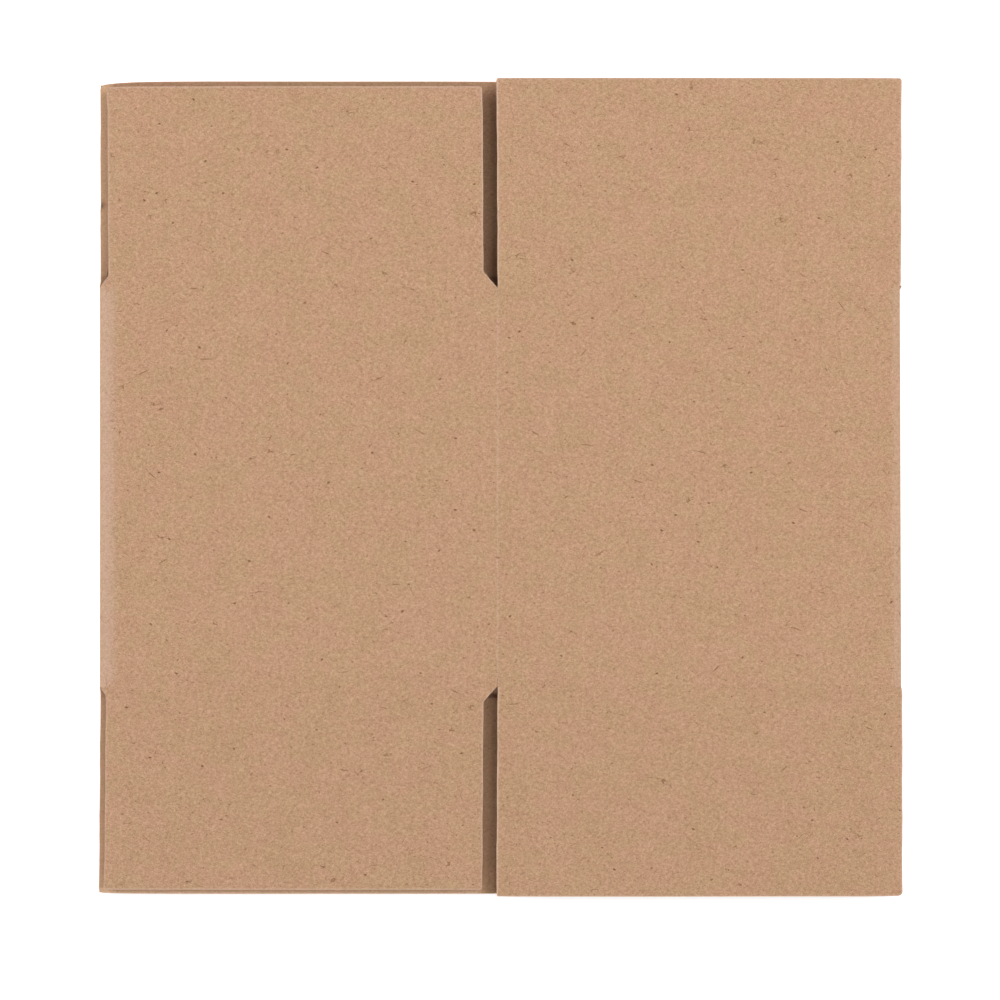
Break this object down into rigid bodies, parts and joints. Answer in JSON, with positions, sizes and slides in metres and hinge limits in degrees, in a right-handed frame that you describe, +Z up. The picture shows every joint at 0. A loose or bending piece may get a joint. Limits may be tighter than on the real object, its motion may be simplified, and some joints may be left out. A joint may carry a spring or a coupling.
{
  "type": "flattened cardboard box",
  "caption": "Knocked-down slotted carton of plain kraft corrugated board, pressed flat with its flaps lying in line with the panels; the upper flaps swing on their scores",
  "frame": {"origin": "middle of the box's lower outer face, on the plane it lies on", "axes": "+X across the folds towards the wide upper panel, +Y along the flutes towards the top flaps, +Z up through the two layers"},
  "size_m": [0.3124, 0.3186, 0.009],
  "materials": {
    "kraft_board": "matt"
  },
  "bodies": {
    "carton": {"carton": "kraft_board"},
    "top_narrow_flap": {"top_narrow_flap": "kraft_board"},
    "top_wide_flap": {"top_wide_flap": "kraft_board"},
    "bottom_narrow_flap": {"bottom_narrow_flap": "kraft_board"},
    "bottom_wide_flap": {"bottom_wide_flap": "kraft_board"}
  },
  "joints": [
    {"name": "top_narrow_score", "type": "hinge", "parent": "carton", "child": "top_narrow_flap", "pos_m": [-0.0786, 0.078, 0.009], "axis": [1, 0, 0], "range_deg": [0, 165]},
    {"name": "top_wide_score", "type": "hinge", "parent": "carton", "child": "top_wide_flap", "pos_m": [0.0776, 0.0807, 0.009], "axis": [1, 0, 0], "range_deg": [0, 165]},
    {"name": "bottom_narrow_score", "type": "hinge", "parent": "carton", "child": "bottom_narrow_flap", "pos_m": [-0.0786, -0.078, 0.009], "axis": [-1, 0, 0], "range_deg": [0, 165]},
    {"name": "bottom_wide_score", "type": "hinge", "parent": "carton", "child": "bottom_wide_flap", "pos_m": [0.0776, -0.0807, 0.009], "axis": [-1, 0, 0], "range_deg": [0, 165]}
  ]
}
